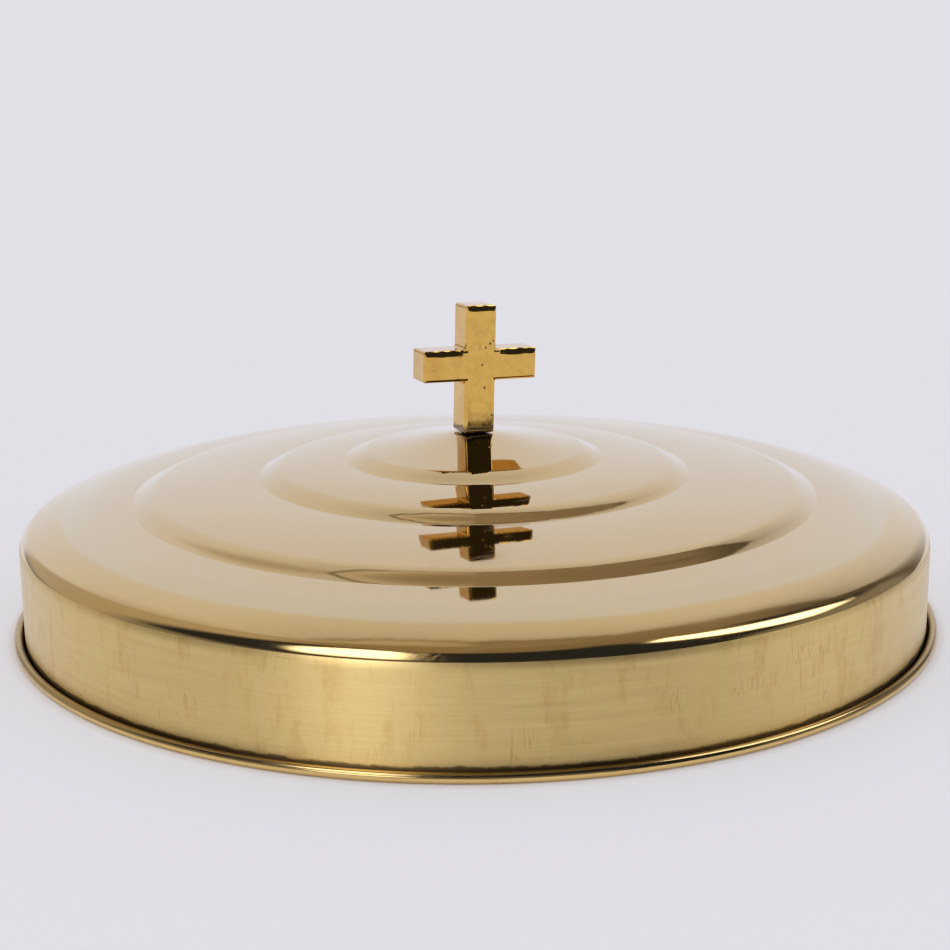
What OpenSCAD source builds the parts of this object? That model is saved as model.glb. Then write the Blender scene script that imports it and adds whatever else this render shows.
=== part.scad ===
// Domed cover for a round communion tray. One spun brass sheet carries three raised tiers,
// a skirt and a rolled bead. A cast cross finial stands on top, and one screw with its
// washers holds it from below.
// Millimetres, +Z up. The origin is where the cover's axis meets the surface that the cover
// stands on. The cross faces -Y.

/* [Rim and skirt] */
// Overall diameter over the rolled bead
cover_d = 311.2; // [305:0.1:320]
// Thickness of the spun sheet
sheet_t = 0.7; // [0.5:0.05:0.8]
// Outside diameter of the rolled bead
bead_d = 3; // [2.5:0.1:3.5]
// How far round the bead is rolled, in degrees
bead_roll = 270; // [240:5:270]
// How far the bead stands out past the skirt
rim_overhang = 3.6; // [3.6:0.1:5]
// Radius of the bend from the skirt to the rim, on its outer side
rim_bend_r = 1.2; // [0.8:0.1:1.2]
// Height of the top of the straight skirt above the table
skirt_top_z = 29.8; // [20:0.1:45]

/* [Shoulder] */
// Radius of the corner above the skirt
corner_r = 6.5; // [4:0.1:9]
// Slope at which the broad roll meets the corner, in degrees
roll_end_slope = 23; // [14:1:30]
// Radius at which the broad roll starts
roll_start_r = 127; // [122:0.5:134]

/* [Ledge outside the outer step] */
// Slope at the inner edge of the ledge, in degrees
ledge_inner_slope = 3.6; // [0:0.1:4]
// Slope at the outer edge of the ledge, in degrees
ledge_outer_slope = 5.3; // [5:0.1:10]

/* [Outer step and tier] */
// Radius of the foot of the outer step
outer_step_r = 115.4; // [105:0.1:118]
// Rise of the outer step
outer_step_h = 3.45; // [2.5:0.05:6]
// Slope at the inner edge of the outer tier, in degrees
outer_tier_inner_slope = 1.8; // [0:0.1:4]
// Slope at the outer edge of the outer tier, in degrees
outer_tier_outer_slope = 8; // [5:0.1:10]

/* [Middle step and inner tier] */
// Radius of the foot of the middle step
middle_step_r = 72.9; // [66:0.1:80]
// Rise of the middle step
middle_step_h = 3.25; // [2.5:0.05:6]
// Slope at the inner edge of the inner tier, in degrees
inner_tier_inner_slope = 1.9; // [0:0.1:4]
// Slope at the outer edge of the inner tier, in degrees
inner_tier_outer_slope = 8; // [5:0.1:10]

/* [Step faces] */
// Slope of the faces of the outer and middle steps, in degrees
step_face_slope = 25; // [20:1:35]
// Outer radius of the ridge above a step face
ridge_r = 12; // [4:0.5:12]
// Radius of the bend at the foot of a step face
foot_bend_r = 0.8; // [0.5:0.1:1.5]

/* [Boss] */
// Radius of the foot of the boss
boss_r = 43.9; // [38:0.1:46]
// Rise of the boss face
boss_h = 2.85; // [2.5:0.05:4]
// Slope of the boss face, in degrees
boss_face_slope = 22; // [18:1:32]
// Outer radius of the soft ridge above the boss face
boss_ridge_r = 6; // [2:0.5:8]
// Radius of the bend at the foot of the boss face
boss_bend_r = 2.5; // [1:0.1:4]
// Slope of the boss cone beside its ridge, in degrees
boss_outer_slope = 9; // [7:0.1:10]
// Slope of the boss cone beside its seat, in degrees
boss_inner_slope = 11.5; // [10.5:0.1:14]
// Outer radius of the bend from the seat to the cone
seat_bend_r = 6; // [2:0.5:10]
// Radius of the flat seat under the finial
seat_r = 6.6; // [6.5:0.1:8]

/* [Cross finial] */
// Width of the upright and height of the crossbar's ends
bar_w = 10.6; // [9:0.1:12]
// Thickness of the cross from front to back
bar_t = 10.5; // [9:0.1:12]
// Length of the crossbar
cross_span = 40; // [32:0.5:50]
// Height of the cross above its foot
cross_h = 43.3; // [36:0.1:60]
// Height of the underside of the crossbar above the foot
arm_z = 17.9; // [12:0.1:24]
// Radius of the rounded edges
edge_r = 0.9; // [0.4:0.1:1.5]
// Radius in the corners between the bars
inside_corner_r = 1; // [0.5:0.1:3]
// Lean of the cross towards +X, in degrees
cross_lean = 1.8; // [0:0.1:3]
// Diameter of the round neck under the cross
neck_d = 8; // [7:0.1:9]
// Height of the neck between the seat and the foot
neck_h = 0.4; // [0.4:0.1:2]

/* [Screw and washers] */
// Shank diameter of the finial screw
screw_d = 4.7; // [4:0.1:4.8]
// Length of the screw under its head
screw_len = 12.7; // [9:0.1:13]
// Diameter of the screw's pan head
head_d = 9.4; // [8:0.1:10]
// Height of the pan head
head_h = 3; // [2.5:0.1:4]
// Diameter of the tapped hole in the finial
tapped_d = 4.8; // [4.8:0.01:5]
// Diameter of the hole in the dome
dome_hole_d = 5.4; // [5:0.1:6]
// Outside diameter of the flat washer
flat_washer_d = 12.7; // [11:0.1:13]
// Thickness of the flat washer
flat_washer_t = 1; // [0.6:0.1:1.5]
// Outside diameter of the lock washer
lock_washer_d = 8.6; // [7.6:0.1:9.4]
// Thickness of the lock washer
lock_washer_t = 1.2; // [0.8:0.1:1.5]

/* [Hidden] */
$fn = 96;

ROUND_FN = 240;         // sides of the preview of the large turned shell
CROWN_STEPS = 8;        // stretches along each gently crowned tier
BEND_STEP = 8;          // degrees turned by each stretch of a bend
EDGE_STEPS = 4;         // stretches round each edge of the cross
TAP_DEPTH = 12;         // depth of the tapped hole above the seat
WASHER_HOLE_GAP = 0.5;  // how much wider the washer holes are than the screw
SPLIT_GAP = 1;          // width of the split in the lock washer
SPLIT_TURN = 20;        // slant of the split, in degrees
TIP_CHAMFER = 0.6;      // chamfer on the end of the screw
SLOT_W = 1.3;           // width of the screwdriver slot
SLOT_DEPTH = 1.4;       // depth of the screwdriver slot
HEAD_EDGE = 1.2;        // height of the straight edge of the pan head
CUT = 1;                // how far a cutting solid runs past what it cuts

brass = [0.83, 0.68, 0.38];
cast_brass = [0.86, 0.67, 0.32];
zinc = [0.72, 0.73, 0.74];
dull_steel = [0.55, 0.56, 0.58];

skirt_r = cover_d / 2 - rim_overhang;
bead_r = bead_d / 2;
bottom_bend_z = rim_bend_r + sheet_t;

// Drop along a stretch whose slope goes from a0 to a1 between radii r0 and r1
function crown_drop(r0, a0, r1, a1) = (r1 - r0) * (cos(a0) - cos(a1)) / (sin(a1) - sin(a0));

// Run of a step of height h: a ridge, a straight face and a foot
function step_run(h, a_in, a_face, a_out, r_top, r_foot) =
    r_top * (sin(a_face) - sin(a_in)) + r_foot * (sin(a_face) - sin(a_out))
    + face_drop(h, a_in, a_face, a_out, r_top, r_foot) / tan(a_face);

// Height of the straight face of a step
function face_drop(h, a_in, a_face, a_out, r_top, r_foot) =
    h - r_top * (cos(a_in) - cos(a_face)) - r_foot * (cos(a_out) - cos(a_face));

// Radii of the ridges, from the feet inwards
outer_ridge_r = outer_step_r - step_run(outer_step_h, outer_tier_outer_slope, step_face_slope,
    ledge_inner_slope, ridge_r, foot_bend_r);
middle_ridge_r = middle_step_r - step_run(middle_step_h, inner_tier_outer_slope, step_face_slope,
    outer_tier_inner_slope, ridge_r, foot_bend_r);
boss_edge_r = boss_r - step_run(boss_h, boss_outer_slope, boss_face_slope,
    inner_tier_inner_slope, boss_ridge_r, boss_bend_r);

// Heights of the outer surface, from the skirt upwards
roll_end_r = skirt_r - corner_r * (1 - sin(roll_end_slope));
roll_end_z = skirt_top_z + corner_r * cos(roll_end_slope);
ledge_end_z = roll_end_z + crown_drop(roll_start_r, ledge_outer_slope, roll_end_r, roll_end_slope);
outer_foot_z = ledge_end_z
    + crown_drop(outer_step_r, ledge_inner_slope, roll_start_r, ledge_outer_slope);
outer_ridge_z = outer_foot_z + outer_step_h;
middle_foot_z = outer_ridge_z
    + crown_drop(middle_step_r, outer_tier_inner_slope, outer_ridge_r, outer_tier_outer_slope);
middle_ridge_z = middle_foot_z + middle_step_h;
boss_foot_z = middle_ridge_z
    + crown_drop(boss_r, inner_tier_inner_slope, middle_ridge_r, inner_tier_outer_slope);
boss_edge_z = boss_foot_z + boss_h;
cone_top_r = seat_r + seat_bend_r * sin(boss_inner_slope);
cone_top_z = boss_edge_z
    + crown_drop(cone_top_r, boss_inner_slope, boss_edge_r, boss_outer_slope);
seat_z = cone_top_z + seat_bend_r * (1 - cos(boss_inner_slope));

// Stack under the seat
washer_top_z = seat_z - sheet_t;
lock_top_z = washer_top_z - flat_washer_t;
head_top_z = lock_top_z - lock_washer_t;
foot_z = seat_z + neck_h;

// A path point is [radius, height, slope]. Slope 0 heads outwards and slope 90 heads down.
// A crowned stretch, with its first point left out
function crown(r0, z0, a0, r1, a1) =
    let (big_r = (r1 - r0) / (sin(a1) - sin(a0)))
    [for (i = [1 : CROWN_STEPS])
        let (a = a0 + (a1 - a0) * i / CROWN_STEPS)
        [r0 + big_r * (sin(a) - sin(a0)), z0 + big_r * (cos(a) - cos(a0)), a]];

// A bend of radius r on the outer side, with its first point left out
function bend(p, r, a0, a1) =
    let (side = sign(a1 - a0), steps = ceil(abs(a1 - a0) / BEND_STEP))
    [for (i = [1 : steps])
        let (a = a0 + (a1 - a0) * i / steps)
        [p.x + side * r * (sin(a) - sin(a0)), p.y + side * r * (cos(a) - cos(a0)), a]];

// A step down from the ridge that starts at p
function step_path(p, h, a_in, a_face, a_out, r_top, r_foot) =
    let (ridge = bend(p, r_top, a_in, a_face),
        q = ridge[len(ridge) - 1],
        drop = face_drop(h, a_in, a_face, a_out, r_top, r_foot),
        foot = [q.x + drop / tan(a_face), q.y - drop, a_face])
    concat(ridge, [foot], bend(foot, r_foot, a_face, a_out));

// The outer side of the sheet, from the hole in the dome to the end of the rolled bead
rim_flat_z = sheet_t;
rim_start = [skirt_r, bottom_bend_z, 90];
flange_start = [skirt_r + rim_bend_r, rim_flat_z, 0];
flange_end = [cover_d / 2 - bead_r, rim_flat_z, 0];
sheet_path = concat(
    [[dome_hole_d / 2, seat_z, 0], [seat_r, seat_z, 0]],
    bend([seat_r, seat_z], seat_bend_r, 0, boss_inner_slope),
    crown(cone_top_r, cone_top_z, boss_inner_slope, boss_edge_r, boss_outer_slope),
    step_path([boss_edge_r, boss_edge_z], boss_h, boss_outer_slope, boss_face_slope,
        inner_tier_inner_slope, boss_ridge_r, boss_bend_r),
    crown(boss_r, boss_foot_z, inner_tier_inner_slope, middle_ridge_r, inner_tier_outer_slope),
    step_path([middle_ridge_r, middle_ridge_z], middle_step_h, inner_tier_outer_slope,
        step_face_slope, outer_tier_inner_slope, ridge_r, foot_bend_r),
    crown(middle_step_r, middle_foot_z, outer_tier_inner_slope, outer_ridge_r,
        outer_tier_outer_slope),
    step_path([outer_ridge_r, outer_ridge_z], outer_step_h, outer_tier_outer_slope,
        step_face_slope, ledge_inner_slope, ridge_r, foot_bend_r),
    crown(outer_step_r, outer_foot_z, ledge_inner_slope, roll_start_r, ledge_outer_slope),
    crown(roll_start_r, ledge_end_z, ledge_outer_slope, roll_end_r, roll_end_slope),
    bend([roll_end_r, roll_end_z], corner_r, roll_end_slope, 90),
    [rim_start],
    bend(rim_start, rim_bend_r, 90, 0),
    [flange_end],
    bend(flange_end, bead_r - sheet_t, 0, -bead_roll));

// The spun sheet: the path above, and the same path one thickness in
module cover_shell() {
    last_point = len(sheet_path) - 1;
    outer_side = [for (p = sheet_path) [p.x, p.y]];
    inner_side = [for (i = [0 : last_point])
        let (p = sheet_path[last_point - i])
        [p.x - sheet_t * sin(p.z), p.y - sheet_t * cos(p.z)]];
    color(brass)
        rotate_extrude($fn = ROUND_FN)
            polygon(concat(outer_side, inner_side));
}

// A rectangle with rounded corners, centred on the origin
module rounded_rect(w, h, r) {
    polygon([for (quarter = [0 : 3], i = [0 : EDGE_STEPS])
        let (a = 90 * quarter + 90 * i / EDGE_STEPS,
            sx = (quarter == 0 || quarter == 3) ? 1 : -1,
            sy = quarter < 2 ? 1 : -1)
        [sx * (w / 2 - r) + r * cos(a), sy * (h / 2 - r) + r * sin(a)]]);
}

// A bar with rounded edges, centred on the origin
module rounded_bar(x, y, z, r) {
    intersection() {
        translate([0, 0, -z / 2])
            linear_extrude(z) rounded_rect(x, y, r);
        rotate([90, 0, 0])
            translate([0, 0, -y / 2])
                linear_extrude(y) rounded_rect(x, z, r);
        rotate([90, 0, 90])
            translate([0, 0, -x / 2])
                linear_extrude(x) rounded_rect(y, z, r);
    }
}

// The web that fills one corner between the bars
module corner_web() {
    web_t = bar_t - 2 * edge_r;
    rotate([90, 0, 0])
        translate([0, 0, -web_t / 2])
            linear_extrude(web_t)
                difference() {
                    translate([-CUT, -CUT]) square(inside_corner_r + CUT);
                    translate([inside_corner_r, inside_corner_r]) circle(inside_corner_r);
                }
}

// The cast cross: two bars, four corner webs and a round neck with a tapped hole
module cross_finial() {
    color(cast_brass)
        difference() {
            union() {
                translate([0, 0, foot_z])
                    rotate([0, cross_lean, 0])
                        cross_bars();
                translate([0, 0, seat_z])
                    cylinder(h = neck_h + 2 * edge_r, d = neck_d);
            }
            translate([0, 0, seat_z - CUT])
                cylinder(h = TAP_DEPTH + CUT, d = tapped_d);
        }
}

module cross_bars() {
    translate([0, 0, cross_h / 2])
        rounded_bar(bar_w, bar_t, cross_h, edge_r);
    translate([0, 0, arm_z + bar_w / 2])
        rounded_bar(cross_span, bar_t, bar_w, edge_r);
    for (side = [0, 1], end = [0, 1])
        translate([0, 0, arm_z + bar_w / 2])
            mirror([side, 0, 0])
                mirror([0, 0, end])
                    translate([bar_w / 2, 0, bar_w / 2])
                        corner_web();
}

// A flat ring whose top face is at height top_z
module ring(outer_d, inner_d, t, top_z) {
    translate([0, 0, top_z - t])
        difference() {
            cylinder(h = t, d = outer_d);
            translate([0, 0, -CUT])
                cylinder(h = t + 2 * CUT, d = inner_d);
        }
}

module flat_washer() {
    color(zinc)
        ring(flat_washer_d, screw_d + WASHER_HOLE_GAP, flat_washer_t, washer_top_z);
}

// The split spring washer, drawn as it lies when the screw is tight
module lock_washer() {
    color(dull_steel)
        difference() {
            ring(lock_washer_d, screw_d + WASHER_HOLE_GAP / 2, lock_washer_t, lock_top_z);
            translate([lock_washer_d / 2, 0, lock_top_z - lock_washer_t / 2])
                rotate([SPLIT_TURN, 0, 0])
                    cube([lock_washer_d, SPLIT_GAP, lock_washer_t + 2 * CUT], center = true);
        }
}

// Slotted pan-head screw, with its head below the washers
module finial_screw() {
    dome_h = head_h - HEAD_EDGE;
    dome_r = (pow(head_d / 2, 2) + pow(dome_h, 2)) / (2 * dome_h);
    dome_angle = asin(head_d / 2 / dome_r);
    head_profile = concat(
        [[0, 0], [head_d / 2, 0], [head_d / 2, -HEAD_EDGE]],
        [for (i = [1 : EDGE_STEPS * 2])
            let (a = dome_angle * (1 - i / (EDGE_STEPS * 2)))
            [dome_r * sin(a), -head_h + dome_r * (1 - cos(a))]]);
    color(zinc)
        translate([0, 0, head_top_z])
            difference() {
                union() {
                    rotate_extrude() polygon(head_profile);
                    cylinder(h = screw_len - TIP_CHAMFER, d = screw_d);
                    translate([0, 0, screw_len - TIP_CHAMFER])
                        cylinder(h = TIP_CHAMFER, d1 = screw_d, d2 = screw_d - 2 * TIP_CHAMFER);
                }
                translate([0, 0, -head_h + SLOT_DEPTH / 2 - CUT / 2])
                    cube([head_d + 2 * CUT, SLOT_W, SLOT_DEPTH + CUT], center = true);
            }
}

cover_shell();
cross_finial();
flat_washer();
lock_washer();
finial_screw();
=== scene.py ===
# Looks, studio and camera for the communion tray cover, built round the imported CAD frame.
import math

import bpy
import numpy as np
from mathutils import Matrix, Vector


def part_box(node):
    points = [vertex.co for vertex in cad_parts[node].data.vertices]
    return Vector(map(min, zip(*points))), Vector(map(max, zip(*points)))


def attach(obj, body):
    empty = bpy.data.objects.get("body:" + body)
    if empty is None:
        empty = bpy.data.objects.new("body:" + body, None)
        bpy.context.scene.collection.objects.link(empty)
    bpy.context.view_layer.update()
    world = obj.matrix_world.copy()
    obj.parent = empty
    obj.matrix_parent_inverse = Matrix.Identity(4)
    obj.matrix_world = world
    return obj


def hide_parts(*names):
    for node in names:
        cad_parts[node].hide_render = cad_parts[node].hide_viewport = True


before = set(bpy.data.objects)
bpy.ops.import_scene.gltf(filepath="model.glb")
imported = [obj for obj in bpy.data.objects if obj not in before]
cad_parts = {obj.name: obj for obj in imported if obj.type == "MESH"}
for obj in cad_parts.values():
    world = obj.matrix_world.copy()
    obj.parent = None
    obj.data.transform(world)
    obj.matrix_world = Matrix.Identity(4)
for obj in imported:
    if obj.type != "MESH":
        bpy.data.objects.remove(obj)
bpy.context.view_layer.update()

MM = 0.001
CAMERA_TURN = -23.18     # the camera's place round the cover from -Y, in degrees
rng = np.random.default_rng(7)


def sind(a):
    return math.sin(math.radians(a))


def cosd(a):
    return math.cos(math.radians(a))


# ---------------------------------------------------------------- the spun sheet's profile, in mm
COVER_D = 311.19     # a hair inside the CAD part, so the looks stay within its box
SHEET_T = 0.7
BEAD_R = 1.5
BEAD_ROLL = 270
SKIRT_R = 152.0
RIM_BEND_R = 1.2
SKIRT_TOP_Z = 29.8
CORNER_R = 6.5
FINISH_SLOPE = 65    # where the polish of the dome gives way to the satin of the skirt
ROLL_END_SLOPE = 23
ROLL_START_R = 127
LEDGE_SLOPE = 5.3
HOLE_R = 2.7
SEAT_R = 6.6
SEAT_BEND_R = 6.0
CONE_SLOPE = 11.5
# the foot's radius, the rise, the slopes of the face, before the ridge and past the foot, and the
# radii of the bends at the ridge and at the foot
BOSS_STEP = (43.9, 2.85, 22, 9.0, 1.9, 6.0, 2.5)
MIDDLE_STEP = (72.9, 3.25, 25, 8.0, 1.8, 12.0, 0.8)
OUTER_STEP = (115.4, 3.45, 25, 8.0, 3.6, 12.0, 0.8)

TURNS = 384          # facets round the cover
BEND_STEP = 2.5      # degrees turned by each facet of a bend
BOW_STEPS = 6        # facets along each half of a step's face
CROWN_STEPS = 24     # facets along a crowned tier
SKIRT_STEPS = 12     # facets down the straight skirt
FACE_BOW = (1.5, 2.0)  # degrees by which a step's face is flatter at its edges, steeper half-way

# the sheet's material slots
DOME, SKIRT, INSIDE, BEAD = 0, 1, 2, 3


class SheetPath:
    """Outer side of the sheet: (radius, height, slope). Slope 0 heads outwards, 90 heads down."""

    def __init__(self, r, z):
        self.points = [(r, z, 0.0)]
        self.zones = []
        self.zone = DOME

    def add(self, r, z, slope):
        self.points.append((r, z, slope))
        self.zones.append(self.zone)

    def arc(self, radius, slope, steps):
        r0, z0, a0 = self.points[-1]
        for i in range(1, steps + 1):
            a = a0 + (slope - a0) * i / steps
            self.add(r0 + radius * (sind(a) - sind(a0)), z0 + radius * (cosd(a) - cosd(a0)), a)

    def crown(self, r1, slope):
        r0, _, a0 = self.points[-1]
        self.arc((r1 - r0) / (sind(slope) - sind(a0)), slope, CROWN_STEPS)

    def bend(self, radius, slope):
        turn = slope - self.points[-1][2]
        self.arc(math.copysign(radius, turn), slope, math.ceil(abs(turn) / BEND_STEP))

    def straight(self, length, steps=1):
        for _ in range(steps):
            r, z, a = self.points[-1]
            self.add(r + length / steps * cosd(a), z - length / steps * sind(a), a)

    def step(self, foot_r, rise, face, a_in, a_out, ridge_r, bend_r):
        """A crown that ends at a ridge, a slightly bowed face and the bend at its foot."""
        low, high = face - FACE_BOW[0], face + FACE_BOW[1]
        drop = rise - ridge_r * (cosd(a_in) - cosd(low)) - bend_r * (cosd(a_out) - cosd(low))
        bow_r = drop / 2 / (cosd(low) - cosd(high))
        run = (ridge_r * (sind(low) - sind(a_in)) + bend_r * (sind(low) - sind(a_out))
               + 2 * bow_r * (sind(high) - sind(low)))
        self.crown(foot_r - run, a_in)
        self.bend(ridge_r, low)
        self.arc(bow_r, high, BOW_STEPS)
        self.arc(-bow_r, low, BOW_STEPS)
        self.bend(bend_r, a_out)


def sheet_path():
    path = SheetPath(HOLE_R, 0.0)
    path.straight(SEAT_R - HOLE_R, 3)
    path.bend(SEAT_BEND_R, CONE_SLOPE)
    for step in (BOSS_STEP, MIDDLE_STEP, OUTER_STEP):
        path.step(*step)
    path.crown(ROLL_START_R, LEDGE_SLOPE)
    path.crown(SKIRT_R - CORNER_R * (1 - sind(ROLL_END_SLOPE)), ROLL_END_SLOPE)
    path.bend(CORNER_R, FINISH_SLOPE)
    path.zone = SKIRT
    path.bend(CORNER_R, 90)
    path.straight(SKIRT_TOP_Z - RIM_BEND_R - SHEET_T, SKIRT_STEPS)
    path.zone = BEAD
    path.bend(RIM_BEND_R, 0)
    path.straight(COVER_D / 2 - BEAD_R - path.points[-1][0])
    flange_z = path.points[-1][1]
    path.bend(BEAD_R - SHEET_T, -BEAD_ROLL)
    lift = SHEET_T - flange_z
    return [(r, z + lift, a) for r, z, a in path.points], path.zones


# Long, very shallow waves left by the spinning: direction, length, phase and height, in mm
WAVE_COUNT = 14
WAVE_LENGTHS = (35, 90)
WAVE_HEIGHTS = (0.004, 0.010)
WAVE_FADE = (8, 38)       # the distance in from the skirt over which the waves reach full height
WAVE_FADE_SEAT = (10, 30)   # the radius over which they reach it round the seat
WAVES = [(rng.uniform(0, math.tau), rng.uniform(*WAVE_LENGTHS), rng.uniform(0, math.tau),
          rng.uniform(*WAVE_HEIGHTS)) for _ in range(WAVE_COUNT)]


def ripple(x, y):
    """Height of the waves at a place on the dome, and its slope along x and y."""
    h, hx, hy = 0.0, 0.0, 0.0
    for way, length, phase, height in WAVES:
        k = math.tau / length
        u = k * (x * math.cos(way) + y * math.sin(way)) + phase
        h = h + height * np.cos(u)
        hx = hx - height * k * math.cos(way) * np.sin(u)
        hy = hy - height * k * math.sin(way) * np.sin(u)
    return h, hx, hy


# The shoulder is a little out of true, in mm
SAG = 0.55           # how far it sags on the camera's right, and lifts on its left
SAG_R = (118, 146)   # the radius over which the sag grows outwards
SAG_Z = (8, 26)      # the height over which it grows from the skirt up to the shoulder


def sag(x, y):
    """The shoulder's sag at a place, and its slope along x and y."""
    k = -SAG / SKIRT_R
    return (k * (x * cosd(CAMERA_TURN) + y * sind(CAMERA_TURN)), k * cosd(CAMERA_TURN),
            k * sind(CAMERA_TURN))


def smooth(value, lo, hi):
    """Eased share of the way from lo to hi, 0 to 1."""
    t = np.clip((value - lo) / (hi - lo), 0, 1)
    return t * t * (3 - 2 * t)


def new_object(name, mesh, body="root", replaces=None):
    """Links a mesh into the scene, attaches it to its body and hides the CAD part it replaces. Stage
    pieces ride on no body.
    """
    obj = bpy.data.objects.new(name, mesh)
    bpy.context.scene.collection.objects.link(obj)
    if body:
        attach(obj, body)
    if replaces:
        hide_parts(replaces)
    return obj


UPRIGHT = 0.3        # below this share of z a normal counts as level, and keeps its direction


def lathe_sheet(name, path, zones, turns):
    """Turns the sheet's closed section into a mesh with exact normals and one material per zone."""
    outer = np.array([(r, z, sind(a), cosd(a)) for r, z, a in path])
    inner = outer[::-1].copy()
    inner[:, :2] -= SHEET_T * inner[:, 2:]
    inner[:, 2:] *= -1
    rings = np.concatenate([outer, inner])
    count, last = len(rings), len(outer) - 1
    start, end = rings[:, 2:].copy(), np.roll(rings[:, 2:], -1, axis=0)
    for k in (last, count - 1):          # the sheet's two cut edges
        a, b = rings[k, :2], rings[(k + 1) % count, :2]
        along = (b - a) / np.linalg.norm(b - a)
        start[k] = end[k] = (-along[1], along[0])
    rim = inner[:-1, 0] > SKIRT_R + RIM_BEND_R / 2
    strip_zone = np.array(list(zones) + [BEAD] + list(np.where(rim, BEAD, INSIDE)) + [INSIDE])

    phi = np.arange(turns) * math.tau / turns
    cos_phi, sin_phi = np.cos(phi), np.sin(phi)
    x, y = rings[:, None, 0] * cos_phi, rings[:, None, 0] * sin_phi
    z = np.repeat(rings[:, 1:2], turns, axis=1)
    radius, height = rings[:, 0:1], rings[:, 1:2]
    rippled = smooth(SKIRT_R - radius, *WAVE_FADE) * smooth(radius, *WAVE_FADE_SEAT)
    sagging = smooth(radius, *SAG_R) * smooth(height, *SAG_Z)
    h, hx, hy = ripple(x, y)
    s, sx, sy = sag(x, y)
    z = z + rippled * h + sagging * s
    hx, hy = rippled * hx + sagging * sx, rippled * hy + sagging * sy
    verts = np.stack([x, y, z], axis=-1).reshape(-1, 3) * MM

    k, j = np.meshgrid(np.arange(count), np.arange(turns), indexing="ij")
    k1, j1 = (k + 1) % count, (j + 1) % turns
    corners = np.stack([k * turns + j, k1 * turns + j, k1 * turns + j1, k * turns + j1], axis=-1)
    mesh = bpy.data.meshes.new(name)
    mesh.from_pydata(verts.tolist(), [], corners.reshape(-1, 4).tolist())

    def normals(side, ring, turn):
        n = np.stack([side[:, None, 0] * cos_phi[turn], side[:, None, 0] * sin_phi[turn],
                      np.repeat(side[:, 1:2], turns, axis=1)], axis=-1)
        up = np.sign(n[..., 2:3]) * (np.abs(n[..., 2:3]) > UPRIGHT)
        tilt = np.stack([hx[ring, turn], hy[ring, turn], np.zeros_like(hx)], axis=-1)
        n = n - up * tilt
        return n / np.linalg.norm(n, axis=-1, keepdims=True)

    loops = np.stack([normals(start, k, j[0]), normals(end, k1, j[0]),
                      normals(end, k1, j1[0]), normals(start, k, j1[0])], axis=2)
    mesh.polygons.foreach_set("material_index", np.repeat(strip_zone, turns).astype(np.int32))
    mesh.polygons.foreach_set("use_smooth", np.ones(count * turns, bool))
    mesh.normals_split_custom_set(loops.reshape(-1, 3).tolist())
    mesh.update()
    return mesh


# ---------------------------------------------------------------- the cast cross, in mm and degrees
CROSS_LEAN = 1.8
CROSS_H = 43.3
NECK_H = 0.4         # the narrow neck under the upright
ARM_Z = 17.9         # underside of the arms, above the neck
BAR_W = 10.6
BAR_T = 10.5
BUFFED_R = 3.3       # how round buffing has left the top edges at the front
BUFFED_DEPTH = 0.7   # the share of that radius over which the edge rolls off
BUFFED_UNEVEN = 0.16   # how much that radius varies, as a share
FULLNESS = 0.15      # how far the sides stand out past the CAD part's
FACE_UNEVEN = 0.012  # half of how far the faces dip
EDGE_WEAR = 0.12     # how far edges are worn back, for a normal that lies along no axis at all
VOXEL = 0.00025      # the remeshed cross's cell, in metres


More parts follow.
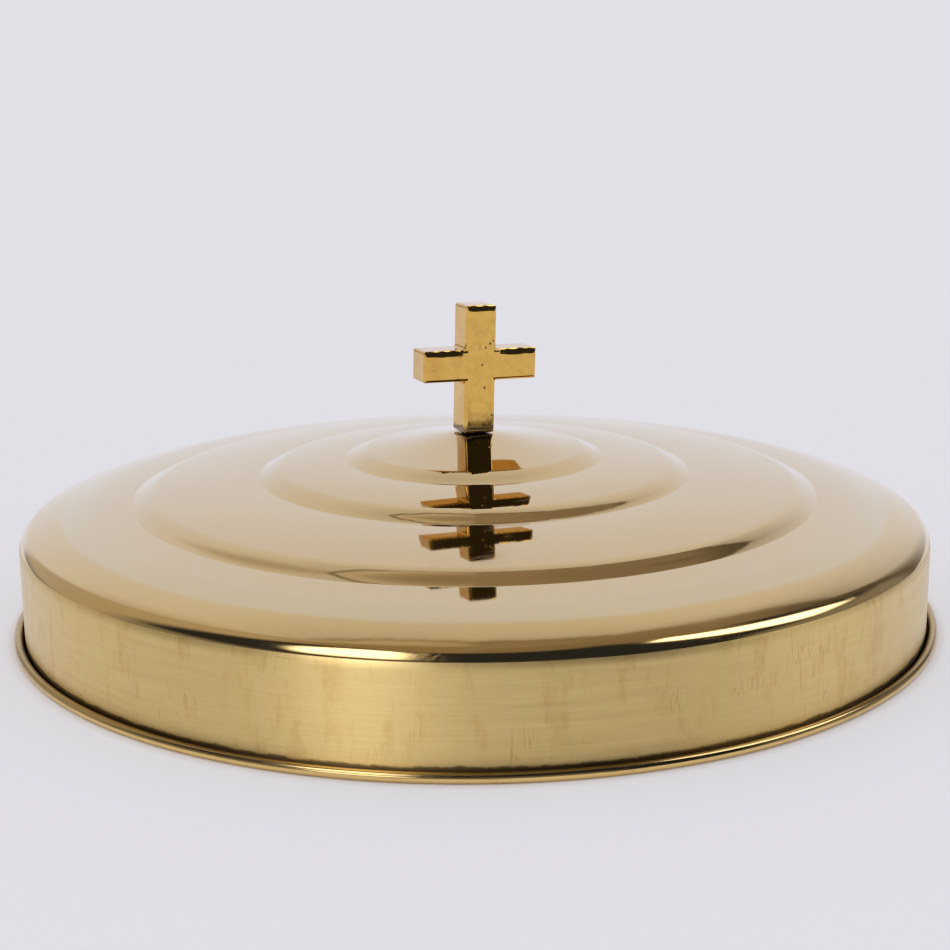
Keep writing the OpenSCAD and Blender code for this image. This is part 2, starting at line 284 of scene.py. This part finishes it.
# ---------------------------------------------------------------- node helpers
class Nodes:
    """Short calls for building a material's node tree."""

    def __init__(self, name):
        self.mat = bpy.data.materials.new(name)
        self.mat.use_nodes = True
        self.tree = self.mat.node_tree
        self.tree.nodes.clear()
        self.out = self.tree.nodes.new("ShaderNodeOutputMaterial")
        self.place = self.node("ShaderNodeTexCoord").outputs["Object"]

    def node(self, kind, **settings):
        made = self.tree.nodes.new(kind)
        for key, value in settings.items():
            setattr(made, key, value)
        return made

    def feed(self, socket, value):
        if isinstance(value, bpy.types.NodeSocket):
            self.tree.links.new(value, socket)
        elif value is not None:
            socket.default_value = value

    def math(self, op, a, b=None):
        made = self.node("ShaderNodeMath", operation=op)
        self.feed(made.inputs[0], a)
        if b is not None:
            self.feed(made.inputs[1], b)
        return made.outputs[0]

    def remap(self, value, lo, hi, to_lo=0.0, to_hi=1.0, kind="SMOOTHSTEP"):
        made = self.node("ShaderNodeMapRange", interpolation_type=kind)
        for key, v in (("Value", value), ("From Min", lo), ("From Max", hi),
                       ("To Min", to_lo), ("To Max", to_hi)):
            self.feed(made.inputs[key], v)
        return made.outputs[0]

    def noise(self, vector, scale, detail=2.0, rough=0.5, distortion=0.0):
        made = self.node("ShaderNodeTexNoise")
        for key, v in (("Vector", vector), ("Scale", scale), ("Detail", detail),
                       ("Roughness", rough), ("Distortion", distortion)):
            self.feed(made.inputs[key], v)
        return made.outputs["Fac"]

    def mapping(self, vector, scale=(1, 1, 1), turn=(0, 0, 0), move=(0, 0, 0)):
        made = self.node("ShaderNodeMapping")
        self.feed(made.inputs["Vector"], vector)
        made.inputs["Scale"].default_value = scale
        made.inputs["Rotation"].default_value = [math.radians(a) for a in turn]
        made.inputs["Location"].default_value = move
        return made.outputs[0]

    def mix(self, factor, a, b):
        made = self.node("ShaderNodeMix", data_type="RGBA")
        self.feed(made.inputs[0], factor)
        self.feed(made.inputs[6], a)
        self.feed(made.inputs[7], b)
        return made.outputs[2]

    def polar(self):
        """Unit direction out from the axis, the radius and the height, in metres."""
        parts = self.node("ShaderNodeSeparateXYZ")
        self.feed(parts.inputs[0], self.place)
        flat = self.node("ShaderNodeCombineXYZ")
        self.feed(flat.inputs[0], parts.outputs[0])
        self.feed(flat.inputs[1], parts.outputs[1])
        length = self.node("ShaderNodeVectorMath", operation="LENGTH")
        self.feed(length.inputs[0], flat.outputs[0])
        unit = self.node("ShaderNodeVectorMath", operation="NORMALIZE")
        self.feed(unit.inputs[0], flat.outputs[0])
        return unit.outputs[0], length.outputs["Value"], parts.outputs[2]

    def around(self, along, across, value):
        """A texture place stretched along the circumference. value runs across the marks."""
        unit, _, _ = self.polar()
        scaled = self.node("ShaderNodeVectorMath", operation="SCALE")
        self.feed(scaled.inputs[0], unit)
        scaled.inputs["Scale"].default_value = along
        parts = self.node("ShaderNodeSeparateXYZ")
        self.feed(parts.inputs[0], scaled.outputs[0])
        made = self.node("ShaderNodeCombineXYZ")
        self.feed(made.inputs[0], parts.outputs[0])
        self.feed(made.inputs[1], parts.outputs[1])
        self.feed(made.inputs[2], self.math("MULTIPLY", value, across))
        return made.outputs[0]

    def swing(self, noise, amount):
        """The noise taken about its middle, as a small distance or share."""
        return self.math("MULTIPLY", self.math("SUBTRACT", noise, 0.5), amount)

    def scratches(self, scale, turn, width, threshold):
        """Thin lines along one direction, in short runs. A higher threshold leaves fewer of them."""
        stretched = self.mapping(self.place, scale=scale, turn=turn)
        line = self.math("ABSOLUTE", self.math("SUBTRACT", self.noise(stretched, 1.0, 1.0), 0.5))
        thin = self.remap(line, 0.0, width, 1.0, 0.0)
        patch = self.remap(self.noise(self.mapping(self.place, move=(turn[2], 3, 5)), 45.0, 2.0),
                           threshold, threshold + 0.08)
        return self.math("MULTIPLY", thin, patch)

    def bump(self, height, strength, distance, normal=None):
        made = self.node("ShaderNodeBump")
        self.feed(made.inputs["Height"], height)
        made.inputs["Strength"].default_value = strength
        made.inputs["Distance"].default_value = distance
        if normal is not None:
            self.feed(made.inputs["Normal"], normal)
        return made.outputs[0]

    def shader(self, **values):
        made = self.node("ShaderNodeBsdfPrincipled")
        for key, v in values.items():
            self.feed(made.inputs[key.replace("_", " ")], v)
        self.feed(self.out.inputs[0], made.outputs[0])
        return made


# ---------------------------------------------------------------- materials
BRASS = (0.70, 0.50, 0.21, 1)
BRASS_WORN = (0.50, 0.32, 0.12, 1)
BRASS_PAINTED_SHEEN = (0.71, 0.56, 0.31, 1)
BRASS_HANDLED = (0.71, 0.495, 0.18, 1)
SATIN = (0.88, 0.66, 0.268, 1)
SATIN_DULL = (0.82, 0.60, 0.225, 1)
SATIN_STAINED = (0.67, 0.40, 0.11, 1)
CAST = (0.79, 0.475, 0.085, 1)
CAST_DULL = (0.66, 0.37, 0.05, 1)
BEAD_BRASS = (0.86, 0.62, 0.25, 1)
INSIDE_LIGHT = (0.74, 0.52, 0.22, 1)
INSIDE_DARK = (0.62, 0.42, 0.17, 1)
INSIDE_TARNISH = (0.40, 0.25, 0.11, 1)
# near black: real pits and scratches, the darkening round the cross's foot, and painted shade and dark
# reflections at the skirt's foot, in the groove and on the bead
STAIN_AND_SHADE = (0.10, 0.065, 0.03, 1)

# where the finish, the darkening, the painted shade and the painted reflections change, as radii and
# heights in metres
SEAT_DARK_R = (0.0050, 0.0064)     # the darkening round the cross's foot ends
PAINTED_SHEEN_R = (0.119, 0.137)             # the ledge is painted paler outwards, a painted reflection of the pale sweep in its coat
HANDLED_R = (0.1370, 0.1396)        # the shoulder rubbed by hands begins
SKIRT_FOOT_SHADE_Z = (0.0031, 0.0040)          # the painted dark reflection at the skirt's foot ends
BEAD_TOP_SHADE_Z = (0.0015, 0.0019)           # the painted dark reflection along the bead's top begins
GROOVE_SHADE_R = (0.1526, 0.1534)         # the painted shade and dark reflection in the groove inside the bead ends
CROSS_FOOT_DARK_Z = (0.0018, 0.0032)    # the darkening of the cross ends, above its foot


def dome_material():
    """Mirror polish with fine rings from the spinning, scratches, blotches, a worn shoulder, a ledge
    painted paler as a painted reflection, and a darker ring round the cross's foot.
    """
    n = Nodes("brass_polished")
    _, radius, _ = n.polar()
    spin = n.noise(n.around(2.0, 9000.0, radius), 1.0, 2.0)
    cloud = n.noise(n.place, 22.0, 4.0, 0.6)
    fine = n.math("MAXIMUM", n.scratches((30, 2400, 30), (0, 0, 25), 0.012, 0.56),
                  n.scratches((25, 2000, 25), (0, 0, -50), 0.012, 0.58))
    fine = n.math("MAXIMUM", fine, n.scratches((40, 2600, 40), (0, 0, 80), 0.010, 0.60))
    blotch = n.remap(n.noise(n.place, 60.0, 5.0, 0.65), 0.60, 0.78)
    colour = n.mix(n.math("MULTIPLY", blotch, 0.25), BRASS, BRASS_WORN)
    colour = n.mix(n.math("MULTIPLY", fine, 0.35), colour, BRASS_WORN)
    # painted reflection: the ledge grows paler outwards, standing in for the pale sweep mirrored in
    # its coat
    colour = n.mix(n.remap(radius, *PAINTED_SHEEN_R, kind="LINEAR"), colour, BRASS_PAINTED_SHEEN)
    handled = n.remap(n.math("ADD", radius, n.swing(cloud, 0.004)), *HANDLED_R)
    colour = n.mix(handled, colour, BRASS_HANDLED)
    # the dome is darkened round the cross's foot
    colour = n.mix(n.remap(radius, *SEAT_DARK_R, 0.9, 0.0), colour, STAIN_AND_SHADE)
    rough = n.remap(cloud, 0.3, 0.75, 0.03, 0.06)
    rough = n.math("ADD", rough, n.math("MULTIPLY", fine, 0.12))
    rough = n.math("ADD", rough, n.math("MULTIPLY", handled, 0.05))
    normal = n.bump(spin, 0.06, 0.00001)
    normal = n.bump(fine, 0.25, 0.00001, normal)
    n.shader(Base_Color=colour, Metallic=1.0, Roughness=rough, Normal=normal,
             Coat_Weight=1.0, Coat_IOR=1.5, Coat_Roughness=0.03)
    return n.mat


def skirt_material():
    """Satin brushed round the axis, so its highlights stretch upright, with smears and a painted dark
    reflection along its foot.
    """
    n = Nodes("brass_satin")
    _, _, height = n.polar()
    brush = n.noise(n.around(6.0, 5200.0, height), 1.0, 3.0, 0.6)
    broad = n.noise(n.around(3.0, 700.0, height), 1.0, 2.0)
    smear = n.noise(n.mapping(n.place, scale=(1, 1, 0.35)), 120.0, 5.0, 0.65)
    fine = n.math("MAXIMUM", n.scratches((700, 700, 60), (12, 0, 0), 0.03, 0.53),
                  n.scratches((60, 60, 1600), (0, 30, 10), 0.012, 0.57))
    colour = n.mix(n.remap(brush, 0.35, 0.7), SATIN, SATIN_DULL)
    colour = n.mix(n.remap(smear, 0.50, 0.72, 0.0, 0.5), colour, SATIN_STAINED)
    colour = n.mix(n.math("MULTIPLY", fine, 0.6), colour, SATIN_STAINED)
    # painted dark reflection: the skirt's foot is darkened, standing in for the dark room its lower
    # bend mirrors
    foot_shade = n.math("ADD", height, n.swing(smear, 0.003))
    colour = n.mix(n.remap(foot_shade, *SKIRT_FOOT_SHADE_Z, 0.82, 0.0), colour, STAIN_AND_SHADE)
    rough = n.remap(broad, 0.3, 0.7, 0.40, 0.46)
    normal = n.bump(brush, 0.15, 0.00002)
    normal = n.bump(fine, 0.2, 0.00001, normal)
    tangent = n.node("ShaderNodeTangent", direction_type="RADIAL", axis="Z")
    n.shader(Base_Color=colour, Metallic=1.0, Roughness=rough, Normal=normal,
             Anisotropic=0.8, Anisotropic_Rotation=0.25, Tangent=tangent.outputs[0],
             Coat_Weight=0.5, Coat_IOR=1.5, Coat_Roughness=0.25)
    return n.mat


def bead_material():
    """Polished brass with painted shade in the groove behind it and a painted dark reflection along
    its top.
    """
    n = Nodes("brass_bead")
    _, radius, height = n.polar()
    cloud = n.noise(n.place, 60.0, 4.0, 0.6)
    lap = n.noise(n.around(3.0, 5000.0, height), 1.0, 2.0)
    worn = n.mix(n.remap(cloud, 0.55, 0.75, 0.0, 0.5), BEAD_BRASS, BRASS_WORN)
    # painted dark reflection: the bead's top is darkened by up to half
    top_shade = n.remap(n.math("ADD", height, n.swing(cloud, 0.0008)), *BEAD_TOP_SHADE_Z)
    # painted shade and dark reflection: the groove between the skirt's bend and the bead is darkened
    groove = n.remap(radius, *GROOVE_SHADE_R, 1.0, 0.0)
    colour = n.mix(n.math("MULTIPLY", top_shade, 0.5), worn, STAIN_AND_SHADE)
    colour = n.mix(groove, colour, STAIN_AND_SHADE)
    rough = n.remap(cloud, 0.3, 0.7, 0.10, 0.18)
    n.shader(Base_Color=colour, Metallic=1.0, Roughness=rough, Normal=n.bump(lap, 0.1, 0.00001))
    return n.mat


def inside_material():
    """Unpolished inside of the sheet: turning marks and tarnish."""
    n = Nodes("brass_inside")
    _, radius, _ = n.polar()
    spin = n.noise(n.around(1.2, 2600.0, radius), 1.0, 4.0, 0.7)
    cloud = n.noise(n.place, 35.0, 5.0, 0.6)
    colour = n.mix(n.remap(spin, 0.35, 0.7), INSIDE_LIGHT, INSIDE_DARK)
    colour = n.mix(n.remap(cloud, 0.5, 0.75, 0.0, 0.5), colour, INSIDE_TARNISH)
    rough = n.remap(spin, 0.3, 0.7, 0.26, 0.38)
    n.shader(Base_Color=colour, Metallic=1.0, Roughness=rough, Normal=n.bump(spin, 0.35, 0.00004))
    return n.mat


def cast_material():
    """Polished casting: mottled colour, rare pits, fine scratches and a foot darkened towards its
    bottom.
    """
    n = Nodes("brass_cast")
    mottle = n.noise(n.place, 420.0, 4.0, 0.6)
    cloud = n.noise(n.place, 110.0, 3.0, 0.5)
    cells = n.node("ShaderNodeTexVoronoi")
    n.feed(cells.inputs["Vector"], n.place)
    cells.inputs["Scale"].default_value = 420.0
    rare = n.remap(n.noise(n.mapping(n.place, move=(2, 7, 1)), 140.0, 1.0), 0.62, 0.68)
    pit = n.math("MULTIPLY", n.remap(cells.outputs["Distance"], 0.06, 0.2, 1.0, 0.0), rare)
    fine = n.scratches((200, 3000, 200), (20, 30, 40), 0.012, 0.55)
    colour = n.mix(n.remap(cloud, 0.4, 0.75), CAST, CAST_DULL)
    colour = n.mix(n.remap(mottle, 0.42, 0.66, 0.0, 0.55), colour, CAST_DULL)
    colour = n.mix(n.math("MAXIMUM", pit, n.math("MULTIPLY", fine, 0.3)), colour, STAIN_AND_SHADE)
    _, _, height = n.polar()
    level = n.math("ADD", height, n.swing(mottle, 0.002))
    start, end = (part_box("cross_finial")[0].z + NECK_H * MM + z for z in CROSS_FOOT_DARK_Z)
    # the cross is darkened towards its foot
    colour = n.mix(n.remap(level, start, end, 0.75, 0.0), colour, STAIN_AND_SHADE)
    rough = n.remap(mottle, 0.35, 0.7, 0.06, 0.12)
    rough = n.math("ADD", rough, n.math("MULTIPLY", pit, 0.4))
    normal = n.bump(mottle, 0.15, 0.00004)
    normal = n.bump(n.math("SUBTRACT", 1.0, pit), 0.8, 0.00015, normal)
    n.shader(Base_Color=colour, Metallic=1.0, Roughness=rough, Normal=normal,
             Coat_Weight=1.0, Coat_IOR=1.5, Coat_Roughness=0.04)
    return n.mat


def plated_material(name, light, dark, rough_range):
    """Small turned hardware with lathe marks and clouded plating."""
    n = Nodes(name)
    _, radius, _ = n.polar()
    lathe = n.noise(n.around(1.0, 1600.0, radius), 1.0, 2.0)
    cloud = n.noise(n.place, 260.0, 4.0, 0.6)
    colour = n.mix(n.remap(cloud, 0.4, 0.7), light, dark)
    rough = n.remap(cloud, 0.3, 0.7, *rough_range)
    n.shader(Base_Color=colour, Metallic=1.0, Roughness=rough, Normal=n.bump(lathe, 0.3, 0.00002))
    return n.mat


# ---------------------------------------------------------------- pieces
path, zones = sheet_path()
shell = new_object("cover_sheet", lathe_sheet("cover_sheet", path, zones, TURNS),
                   replaces="cover_shell")
for made in (dome_material(), skirt_material(), inside_material(), bead_material()):
    shell.data.materials.append(made)

def vertex_array(mesh, key):
    """A vertex attribute of three numbers each, as rows."""
    values = np.zeros(len(mesh.vertices) * 3)
    mesh.vertices.foreach_get(key, values)
    return values.reshape(-1, 3)


def random_swell(p, waves, shortest, longest):
    """Smooth unevenness at the given places, from -1 to 1."""
    swell = np.zeros(len(p))
    for _ in range(waves):
        way = rng.normal(size=3)
        way *= math.tau / rng.uniform(shortest, longest) / np.linalg.norm(way)
        swell += rng.uniform(0.3, 1.0) * np.cos(p @ way + rng.uniform(0, math.tau))
    return swell / np.abs(swell).max()


def buff_edge(p, top, radius):
    """Rolls the front off towards the top edge at the given height. p is in mm, changed in place."""
    slack, least = 0.2, 0.05     # how far past the top still counts, and the smallest useful radius
    up = p[:, 2] - (top - BUFFED_DEPTH * radius)
    hit = (up > 0) & (p[:, 1] < 0) & (p[:, 2] < top + slack) & (radius > least)
    up, radius = np.minimum(up[hit], BUFFED_DEPTH * radius[hit]), radius[hit]
    front = -BAR_T / 2 - FULLNESS
    p[hit, 1] = np.maximum(p[hit, 1], front + radius - np.sqrt(radius ** 2 - up ** 2))


def cast_cross():
    """The CAD cross with an even mesh, softly uneven faces and unevenly buffed edges."""
    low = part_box("cross_finial")[0]
    foot = Matrix.Translation((0, 0, low.z))
    lean = Matrix.Rotation(math.radians(CROSS_LEAN), 4, "Y")
    upright = foot @ lean.inverted() @ foot.inverted()
    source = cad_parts["cross_finial"].data.copy()
    source.transform(upright)
    work = bpy.data.objects.new("cross_work", source)
    bpy.context.scene.collection.objects.link(work)
    weld = work.modifiers.new("weld", "WELD")
    weld.merge_threshold = 1e-6
    even = work.modifiers.new("even", "REMESH")
    even.mode = "VOXEL"
    even.voxel_size = VOXEL
    graph = bpy.context.evaluated_depsgraph_get()
    mesh = bpy.data.meshes.new_from_object(work.evaluated_get(graph))
    bpy.data.objects.remove(work)
    mesh.name = "finial_cross"

    normal = vertex_array(mesh, "normal")
    p = vertex_array(mesh, "co") / MM
    swell = random_swell(p, 18, 4, 12)
    edge = 1 - np.abs(normal).max(axis=1)
    wear = FACE_UNEVEN * (1 - swell) + EDGE_WEAR * edge * np.clip(0.5 + swell, 0, 1)
    p -= normal * wear[:, None]
    p[:, :2] += FULLNESS * normal[:, :2]
    p[:, 0] *= 1 + FULLNESS / BAR_W
    p[:, 0] -= FULLNESS
    p[:, 2] -= low.z / MM + NECK_H
    radius = BUFFED_R * (1 + BUFFED_UNEVEN * random_swell(p, 14, 3, 12))
    arm = smooth(np.abs(p[:, 0]), BAR_W / 2 + 0.6, BAR_W / 2 + 1.8)
    head = (p[:, 2] > ARM_Z + BAR_W + 4).astype(float)
    buff_edge(p, ARM_Z + BAR_W, radius * arm)
    buff_edge(p, CROSS_H, radius * head)
    p[:, 2] += low.z / MM + NECK_H
    mesh.vertices.foreach_set("co", (p * MM).ravel())
    mesh.transform(upright.inverted())
    mesh.polygons.foreach_set("use_smooth", np.ones(len(mesh.polygons), bool))
    mesh.materials.clear()
    mesh.update()
    return mesh


cross = new_object("finial_cross", cast_cross(), replaces="cross_finial")
cross.data.materials.append(cast_material())

zinc = plated_material("zinc_plated", (0.66, 0.67, 0.66, 1), (0.52, 0.52, 0.50, 1), (0.22, 0.36))
steel = plated_material("spring_steel_dull", (0.36, 0.36, 0.37, 1), (0.22, 0.21, 0.21, 1), (0.35, 0.5))
for name, finish in (("flat_washer", zinc), ("lock_washer", steel), ("finial_screw", zinc)):
    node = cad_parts[name]
    for holder in node.material_slots:
        holder.material = finish
    if not node.material_slots:
        node.data.materials.append(finish)

# ---------------------------------------------------------------- camera
CAMERA_RISE = 13.607       # its height above the horizon, in degrees
CAMERA_AWAY = 0.6056       # its distance from the point it circles, in metres
CAMERA_PAN = 0.028         # how far it looks past that point, and how far it is rolled, in degrees
CAMERA_ROLL = -0.564
AIM_Z = 0.04625            # the height of that point, in metres
LENS = 67.17
SENSOR = 36.0


def make_camera():
    ahead = Vector((sind(CAMERA_PAN) * cosd(CAMERA_RISE), cosd(CAMERA_PAN) * cosd(CAMERA_RISE),
                    -sind(CAMERA_RISE)))
    right = Vector((cosd(CAMERA_PAN), -sind(CAMERA_PAN), 0))
    up = right.cross(ahead)
    side = cosd(CAMERA_ROLL) * right + sind(CAMERA_ROLL) * up
    top = cosd(CAMERA_ROLL) * up - sind(CAMERA_ROLL) * right
    pose = Matrix((side, top, -ahead)).transposed().to_4x4()
    pose.translation = (0, -CAMERA_AWAY * cosd(CAMERA_RISE), AIM_Z + CAMERA_AWAY * sind(CAMERA_RISE))
    data = bpy.data.cameras.new("camera")
    data.lens = LENS
    data.sensor_width = SENSOR
    made = bpy.data.objects.new("camera", data)
    bpy.context.scene.collection.objects.link(made)
    made.matrix_world = Matrix.Rotation(math.radians(CAMERA_TURN), 4, "Z") @ pose
    return made


bpy.context.scene.camera = make_camera()

# ---------------------------------------------------------------- studio
# Radiances, from the pale sweep behind the cover to the dark part of the room
PALE = (0.760, 0.752, 0.800)
STRIP = (0.62, 0.56, 0.50)       # a lit strip just over the sweep's edge, on its left
WALL = (0.52, 0.46, 0.40)        # the wall on the camera's left
CEILING = (0.33, 0.265, 0.20)
LOW_WALL = (0.27, 0.255, 0.25)   # a low wall all round, apart from one gap
EDGE_LINE = (0.16, 0.12, 0.08)   # the thin dark edge of the sweep
SIDE_WALL = (0.12, 0.10, 0.08)   # the dim wall between the sweep and the right-hand panel
GLOOM = (0.027, 0.030, 0.042)
PANEL_TINT = (1.0, 0.99, 1.06)
PANEL_POWER = 3.4
# azimuth to the right of the far side, and the height at which the sweep ends there, in degrees
SWEEP_TOP = ((-31, 60.5), (-15, 62), (0, 64.5), (14, 63), (25, 59.3),
             (31, 52), (34, 44), (39, 36), (50, 22))
ROOM_R = 3.0
scene = bpy.context.scene
scene.view_settings.view_transform = "Standard"
scene.view_settings.look = "None"


def room_colour(az, el):
    """Radiance of the studio, seen from the cover, in a direction given in degrees.

    az is from the camera, positive to its right, and el is up from the horizon. Every smooth() call
    below says where one thing fades into the next.
    """
    right = 180 - np.mod(az, 360)        # azimuth from the far side, positive to the camera's right
    colour = np.tile(np.array(GLOOM), (len(az), 1))

    def blend(tint, share):
        nonlocal colour
        colour = colour + (np.array(tint) - colour) * share[:, None]

    doorway = smooth(az, 26, 34) * (1 - smooth(az, 62, 72))      # where the low wall is open
    blend(LOW_WALL, smooth(el, -3, 1) * (1 - smooth(el, 22, 33)) * (1 - doorway))

    edge = np.interp(right, *np.transpose(SWEEP_TOP))
    behind = smooth(np.abs(az), 132, 142)                        # the part that has the sweep
    rear = smooth(np.abs(az), 80, 100)                           # the half away from the camera
    ceiling = np.maximum(smooth(el, 50, 58) * rear, smooth(el, 70, 78))
    ceiling = np.maximum(ceiling, behind * smooth(el, edge, edge + 1))
    blend(CEILING, ceiling * (1 - 0.2 * smooth(right, 14, 34)))
    wall = smooth(-az, 84, 104) * smooth(el, 0, 10) * (1 - smooth(el, 62, 72))
    blend(WALL, wall)
    blend(SIDE_WALL, smooth(az, 120, 130) * (1 - smooth(el, 40, 50)))
    strip = smooth(-right, -4, 14) * behind * smooth(el, edge + 0.8, edge + 1.6)
    blend(STRIP, 0.8 * strip * (1 - smooth(el, edge + 3.2, edge + 4.2)))
    line = behind * smooth(el, edge - 0.3, edge) * (1 - smooth(el, edge + 0.7, edge + 1.2))
    blend(EDGE_LINE, line)

    reach = np.where(az > 0, smooth(az, 126, 155), smooth(-az, 138, 146))
    shade = 1 - 0.08 * smooth(el, 42, 56) - 0.09 * smooth(el, edge - 9, edge - 1)
    sweep = reach * (1 - smooth(el, edge - 0.6, edge + 0.2))
    return colour + (np.array(PALE) * shade[:, None] - colour) * sweep[:, None]


def glowing_card(name, az, el, faces, radius, radiance):
    """A card on the inside of a sphere that only reflections can see. az and el are in degrees."""
    a, e = np.radians(az), np.radians(el)
    flat = np.stack([np.sin(a) * np.cos(e), -np.cos(a) * np.cos(e), np.sin(e)], axis=-1)
    spin = np.array(Matrix.Rotation(math.radians(CAMERA_TURN), 3, "Z"))
    verts = radius * flat @ spin.T
    mesh = bpy.data.meshes.new(name)
    mesh.from_pydata(verts.tolist(), [], faces)
    glow = mesh.color_attributes.new("radiance", "FLOAT_COLOR", "POINT")
    glow.data.foreach_set("color", np.c_[radiance, np.ones(len(verts))].astype(np.float32).ravel())
    n = Nodes(name)
    seen = n.node("ShaderNodeVertexColor", layer_name="radiance")
    shine = n.node("ShaderNodeEmission")
    n.feed(shine.inputs[0], seen.outputs[0])
    n.feed(n.out.inputs[0], shine.outputs[0])
    n.mat.cycles.emission_sampling = "NONE"
    mesh.materials.append(n.mat)
    card = new_object(name, mesh, body=None)
    card.visible_camera = card.visible_diffuse = card.visible_shadow = False
    card.visible_transmission = card.visible_volume_scatter = False


def grid_faces(across, upward):
    """Quads between points that run across first, then upwards."""
    i, j = np.meshgrid(np.arange(upward - 1), np.arange(across - 1), indexing="ij")
    first = (i * across + j).ravel()
    return np.stack([first, first + 1, first + across + 1, first + across], axis=-1).tolist()


def studio_room():
    """The whole room as one card, with a point at every degree from just below the horizon."""
    az, el = np.meshgrid(np.arange(-180.0, 181.0), np.arange(-3.0, 91.0))
    upward, across = az.shape
    az, el = az.ravel(), el.ravel()
    glowing_card("studio_room", az, el, grid_faces(across, upward), ROOM_R, room_colour(az, el))


CARD_ACROSS, CARD_UPWARD = 13, 17    # points on a light panel
CARD_R = ROOM_R * 0.9                # the panels stand in front of the room


def soft_card(name, rows):
    """A light panel that dims towards its edges. A row is an elevation and its sides' azimuths."""
    given = np.array(rows, float)
    height, share = np.linspace(0, 1, CARD_UPWARD), np.linspace(0, 1, CARD_ACROSS)
    el = np.interp(height, np.linspace(0, 1, len(given)), given[:, 0])
    left, right = np.interp(el, given[:, 0], given[:, 1]), np.interp(el, given[:, 0], given[:, 2])
    az = (left[:, None] + (right - left)[:, None] * share).ravel()
    dim = np.outer(smooth(np.minimum(height, 1 - height), -0.02, 0.12),
                   smooth(np.minimum(share, 1 - share), -0.02, 0.22)).ravel()
    radiance = PANEL_POWER * dim[:, None] * np.array(PANEL_TINT)
    faces = grid_faces(CARD_ACROSS, CARD_UPWARD)
    glowing_card(name, az, np.repeat(el, CARD_ACROSS), faces, CARD_R, radiance)


studio_room()
soft_card("softbox_low", ((6, -38, -12), (27, -42, -13)))
soft_card("softbox_left", ((34, -46, -13), (60, -68, -18), (68, -68, -26), (72, -60, -40)))
soft_card("softbox_right", ((27, 92, 114), (45, 76, 118), (55, 70, 114), (62, 70, 110), (66, 84, 112)))

FLOOR_R = 3.2
FLOOR_RINGS, FLOOR_SECTORS = 24, 96
FLOOR_PAPER = (0.97, 0.97, 0.975, 1)
# The floor glows with the backdrop's colour by these shares, which grow over these radii
NEAR_GLOW, NEAR_GLOW_R = 0.6, (0.1550, 0.1595)
FAR_GLOW, FAR_GLOW_R = 0.4, (0.25, 0.9)


def studio_floor():
    """A pale floor that fades into the backdrop's colour, and is clear from below."""
    steps, sectors = FLOOR_RINGS, FLOOR_SECTORS
    radii = FLOOR_R * (np.arange(1, steps + 1) / steps) ** 2
    a = np.arange(sectors) * math.tau / sectors
    rings = np.stack([np.outer(radii, np.cos(a)), np.outer(radii, np.sin(a)),
                      np.zeros((steps, sectors))], axis=-1).reshape(-1, 3)
    faces = [(i * sectors + j, (i + 1) * sectors + j, (i + 1) * sectors + (j + 1) % sectors,
              i * sectors + (j + 1) % sectors) for i in range(steps - 1) for j in range(sectors)]
    faces.append(tuple(range(sectors)))
    mesh = bpy.data.meshes.new("floor")
    mesh.from_pydata(rings.tolist(), [], faces)
    n = Nodes("floor_pale")
    _, radius, _ = n.polar()
    paper = n.node("ShaderNodeBsdfDiffuse")
    paper.inputs[0].default_value = FLOOR_PAPER
    far = n.node("ShaderNodeEmission")
    far.inputs[0].default_value = (*PALE, 1)
    fade = n.node("ShaderNodeMixShader")
    n.feed(fade.inputs[0], n.math("ADD", n.remap(radius, *NEAR_GLOW_R, 0.0, NEAR_GLOW),
                                  n.remap(radius, *FAR_GLOW_R, 0.0, FAR_GLOW)))
    n.feed(fade.inputs[1], paper.outputs[0])
    n.feed(fade.inputs[2], far.outputs[0])
    below = n.node("ShaderNodeNewGeometry").outputs["Backfacing"]
    clear = n.node("ShaderNodeBsdfTransparent")
    whole = n.node("ShaderNodeMixShader")
    n.feed(whole.inputs[0], below)
    n.feed(whole.inputs[1], fade.outputs[0])
    n.feed(whole.inputs[2], clear.outputs[0])
    n.feed(n.out.inputs[0], whole.outputs[0])
    n.mat.cycles.emission_sampling = "NONE"
    mesh.materials.append(n.mat)
    floor = new_object("floor", mesh, body=None)


studio_floor()
world = bpy.data.worlds.new("studio_air")
world.use_nodes = True
world.node_tree.nodes["Background"].inputs[0].default_value = (*PALE, 1)
world.node_tree.nodes["Background"].inputs[1].default_value = 1.0
scene.world = world
